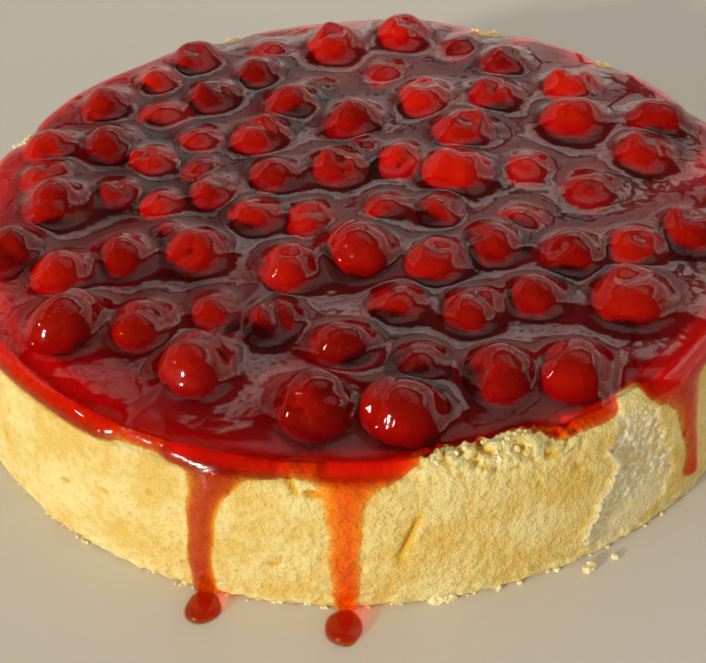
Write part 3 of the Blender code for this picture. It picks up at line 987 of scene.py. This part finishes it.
def addPuddles(shape):
    around, rings = 40, 10
    shadeLayer = shape.verts.layers.float["paintedShade"]
    for angle, distance, length, width, tall in puddles:
        out = Vector((math.cos(math.radians(angle)), math.sin(math.radians(angle)), 0.0))
        across = Vector((-out.y, out.x, 0.0))
        loops = []
        for k in range(rings):
            lift = math.pi / 2 * k / rings
            share, high = math.cos(lift) ** 0.55, math.sin(lift) ** 0.9
            loop = []
            for i in range(around):
                turn = 2 * math.pi * i / around
                wobble = 1 + 0.03 * math.sin(3 * turn + angle) + 0.02 * math.sin(5 * turn)
                spot = out * (distance + share * length * wobble * math.cos(turn))
                spot += across * share * width * wobble * math.sin(turn)
                loop.append(shape.verts.new((spot + Vector((0, 0, high * tall))) * mm))
            loops.append(loop)
        crown = shape.verts.new((out * distance + Vector((0, 0, tall))) * mm)
        # the puddles are darkened with the same painted tint
        for vert in [crown] + [vert for loop in loops for vert in loop]:
            vert[shadeLayer] = jelly["puddleDarkening"]
        shape.faces.new(loops[0][::-1])
        pairs = [(i, (i + 1) % around) for i in range(around)]
        for low, high in zip(loops, loops[1:]):
            for i, j in pairs:
                shape.faces.new((low[i], low[j], high[j], high[i]))
        for i, j in pairs:
            shape.faces.new((loops[-1][i], loops[-1][j], crown))


def jellyFinish():
    material, mix = newMaterial("jellyFinish")
    ripple = mix.noise(160.0, 2.0, 0.5)
    bead = mix.field("bead")
    relief = mix.bump(ripple * (1 - bead), 0.10, 0.002)
    # painted shade: this tint darkens what the jelly lets through in the first drip, the coat at the
    # left and the puddles
    tone = mix.blend(mix.field("paintedShade"), (1.0, 1.0, 1.0), jelly["paintedShade"])
    rough = jelly["roughness"] + bead * jelly["beadRoughness"]
    clear = mix.add("ShaderNodeBsdfPrincipled", None, named={
        "Base Color": tone, "Roughness": rough, "IOR": 1.39, "Transmission Weight": 1.0,
        "Normal": relief})
    through = mix.add("ShaderNodeBsdfTransparent", None, (1.0, 1.0, 1.0))
    shadowRay = mix.add("ShaderNodeLightPath", None, out="Is Shadow Ray")
    surface = mix.add("ShaderNodeMixShader", None, shadowRay, clear, through)
    most = max(jelly["absorbed"])
    tint = tuple(1 - amount / most for amount in jelly["absorbed"])
    inside = mix.add("ShaderNodeVolumeAbsorption", None, tint, most)
    mix.finish(surface, inside)
    return material


# Camera, light and floor

view = {
    "place": (0.0, -0.27765, 0.21428),
    "pitch": 38.611,
    "yaw": -0.539,
    "roll": -2.996,
    "lens": 68.84,
}


def addCamera():
    pitch, yaw, roll = (math.radians(view[key]) for key in ("pitch", "yaw", "roll"))
    ahead = Vector((math.sin(yaw) * math.cos(pitch), math.cos(yaw) * math.cos(pitch), -math.sin(pitch)))
    right = Vector((math.cos(yaw), -math.sin(yaw), 0.0))
    up = right.cross(ahead)
    sideways = math.cos(roll) * right + math.sin(roll) * up
    upwards = -math.sin(roll) * right + math.cos(roll) * up
    data = bpy.data.cameras.new("camera")
    data.lens = view["lens"]
    data.sensor_width = 36.0
    data.clip_start = 0.01
    camera = bpy.data.objects.new("camera", data)
    bpy.context.scene.collection.objects.link(camera)
    turn = Matrix((sideways, upwards, -ahead)).transposed()
    camera.matrix_world = Matrix.Translation(view["place"]) @ turn.to_4x4()
    bpy.context.scene.camera = camera


light = {
    "sunAngle": -138.0,  # where the key light stands, in degrees round the cake
    "sunHeight": 15.0,
    "sunPower": 2.2,
    "sunColour": (1.0, 0.93, 0.80),
    "sunSize": 6.0,
    "fill": 0.55,
    "fillColour": (1.0, 0.95, 0.87),
    # how bright the panel behind the cake looks in the jelly: sine of the height, brightness.
    # Only mirrored rays see it.
    "panel": ((0.0, 1.2), (0.30, 0.95), (0.47, 0.72), (0.54, 1.7), (0.58, 2.7), (0.655, 2.8),
              (0.685, 0.12), (0.78, 0.12), (0.83, 0.85), (0.93, 0.85), (1.0, 0.2)),
    "panelLeft": 0.42,  # its share of that brightness at the left
    "panelLean": 0.22,  # how far its lower edge is turned
    "frontDim": 0.06,  # brightness of what lies before it
    # thin dark bars, as between the panes of a large window: slope, middle, half width, flat ones by
    # the sine of the height and upright ones by how far aside they are
    "flatBars": ((0.0, 0.20, 0.010), (0.0, 0.36, 0.008), (0.0, 0.56, 0.006), (0.0, 0.615, 0.005),
                 (0.0, 0.645, 0.004), (0.3, 0.78, 0.010)),
    "uprightBars": ((-0.95, 0.02), (-0.55, 0.011), (-0.25, 0.011), (0.23, 0.011), (0.52, 0.011),
                    (0.95, 0.02)),
    "barShade": 0.12,
    # small lamps to the left that glint in the cherries: angle, height, size in degrees, brightness
    "spots": ((-172.0, 26.0, 2.4, 42.0), (-152.0, 8.0, 1.8, 40.0), (-124.0, 12.0, 1.8, 36.0)),
}


def towardsPoint(turn, high):
    # the unit vector to a point at this angle round the cake and this height, in degrees
    turn, high = math.radians(turn), math.radians(high)
    return Vector((math.cos(turn) * math.cos(high), math.sin(turn) * math.cos(high), math.sin(high)))


def addSun():
    lamp = bpy.data.lights.new("key", "SUN")
    lamp.energy = light["sunPower"]
    lamp.color = light["sunColour"]
    lamp.angle = math.radians(light["sunSize"])
    key = bpy.data.objects.new("key", lamp)
    towards = towardsPoint(light["sunAngle"], light["sunHeight"])
    key.rotation_euler = towards.to_track_quat("Z", "Y").to_euler()
    bpy.context.scene.collection.objects.link(key)


def addStudio():
    # an even fill for all but mirrored rays, which see the panel, its bars and the small lamps
    world = bpy.data.worlds.new("studio")
    world.use_nodes = True
    bpy.context.scene.world = world
    mix = Recipe(world.node_tree)
    way = mix.add("ShaderNodeTexCoord", out="Generated")
    parts = mix.add("ShaderNodeSeparateXYZ", None, way)
    x, y, z = (Link(mix, parts.socket.node.outputs[k]) for k in range(3))
    depth = y + x * light["panelLean"]
    aside = x / (y.size() + 0.35)

    bright = light["panel"][0][1]
    for (low, before), (high, after) in zip(light["panel"], light["panel"][1:]):
        bright = bright + z.between(low, high) * (after - before)
    bright = bright * (light["panelLeft"] + aside.between(-0.19, -0.03) * (1 - light["panelLeft"]))
    bars = (depth - 0.13).size().between(0.010, 0.015)
    for slope, middle, half in light["flatBars"]:
        bars = bars * (z + y * slope - middle).size().between(half, half * 1.4)
    for middle, half in light["uprightBars"]:
        bars = bars * (aside - middle).size().between(half, half * 1.4)
    shade = light["barShade"]
    behind = depth.between(-0.03, 0.03)
    shine = light["frontDim"] + behind * (bright * (shade + (1 - shade) * bars) - light["frontDim"])
    for turn, high, size, power in light["spots"]:
        size = math.radians(size)
        away = mix.add("ShaderNodeVectorMath", {"operation": "DISTANCE"}, way,
                       tuple(towardsPoint(turn, high)), out="Value")
        shine = shine + (1 - away.between(0.8 * size, 1.2 * size)) * power

    mirrored = mix.add("ShaderNodeLightPath", out="Is Glossy Ray")
    even = mix.add("ShaderNodeBackground", None, light["fillColour"], light["fill"])
    seen = mix.add("ShaderNodeBackground", None, light["fillColour"], shine)
    surface = mix.add("ShaderNodeMixShader", None, mirrored, even, seen)
    mix.add("ShaderNodeOutputWorld", None, named={"Surface": surface})
    bpy.context.scene.view_settings.view_transform = "Standard"


def addFloor():
    shape = bmesh.new()
    bmesh.ops.create_circle(shape, cap_ends=True, segments=96, radius=3.0)
    mesh = takeMesh("floor", shape)
    # just clear of the base, so that the two don't share a plane
    mesh.transform(Matrix.Translation((0, 0, 0.00005)))
    material, mix = newMaterial("floorFinish")
    tone = mix.noise(3.0, 2.0)
    colour = mix.blend(tone, (0.64, 0.60, 0.53), (0.69, 0.65, 0.58))
    surface = mix.add("ShaderNodeBsdfPrincipled", None, named={"Base Color": colour, "Roughness": 0.55})
    mix.finish(surface)
    addPiece("floor", mesh, material)


def dressPart():
    print("crust")
    crustPiece = addPiece("crust", makeCrust(), crustFinish())
    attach(crustPiece, "root")
    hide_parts("cake")

    print("crumbs")
    crumbForms = [crumbForm(kind) for kind in range(crumbs["kinds"])]
    crumbMesh = strew("crumbs", crumbPlaces(), crumbForms, crumbFinish(), smooth=False)
    for vert in crumbMesh.vertices:
        vert.co.z = max(vert.co.z, 0.0)
    crumbPiece = addPiece("crumbs", crumbMesh)
    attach(crumbPiece, "root")

    print("cherries")
    forms = [cherryForm(kind) for kind in range(cherries["kinds"] + 1)]
    cherryMesh = strew("cherries", cherryPlaces(), forms, cherryFinish())
    cherryPiece = addPiece("cherries", cherryMesh)
    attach(cherryPiece, "root")
    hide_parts(*standing)

    print("jelly")
    jellyPiece = addPiece("cherryJelly", makeJelly(cherryMesh), jellyFinish())
    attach(jellyPiece, "root")
    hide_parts("cherry_jelly")


addCamera()
addSun()
addStudio()
addFloor()
dressPart()
